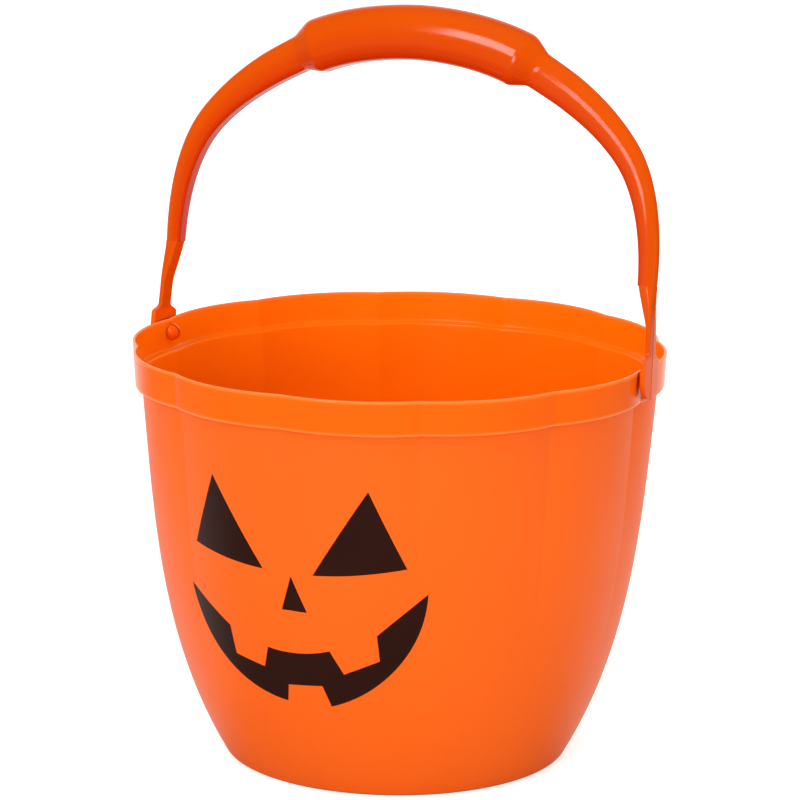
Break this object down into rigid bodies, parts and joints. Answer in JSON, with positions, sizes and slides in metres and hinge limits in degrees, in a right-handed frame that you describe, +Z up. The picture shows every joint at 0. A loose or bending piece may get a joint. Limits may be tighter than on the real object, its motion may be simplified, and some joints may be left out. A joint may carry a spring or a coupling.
{
  "type": "pumpkin candy pail",
  "caption": "Lobed pumpkin-shaped candy pail with a stepped rim band, a printed jack-o'-lantern face and a swinging bail handle that snaps into the rim.",
  "frame": {"origin": "middle of the base, on the plane the pail stands on", "axes": "+Z up through the rim, the printed face looks along -Y, the bail pivots on the line along X"},
  "size_m": [0.2226, 0.217, 0.3078],
  "materials": {
    "orange_plastic": "satin",
    "orange_bail": "gloss",
    "black_ink": "printed"
  },
  "bodies": {
    "pail": {"tub": "orange_plastic", "left_eye": "black_ink", "right_eye": "black_ink", "nose": "black_ink", "mouth": "black_ink"},
    "bail": {"bail": "orange_bail"}
  },
  "joints": [
    {"name": "bail_swing", "type": "hinge", "parent": "pail", "child": "bail", "pos_m": [0, 0, 0.1655], "axis": [1, 0, 0], "range_deg": [-114, 130]}
  ]
}
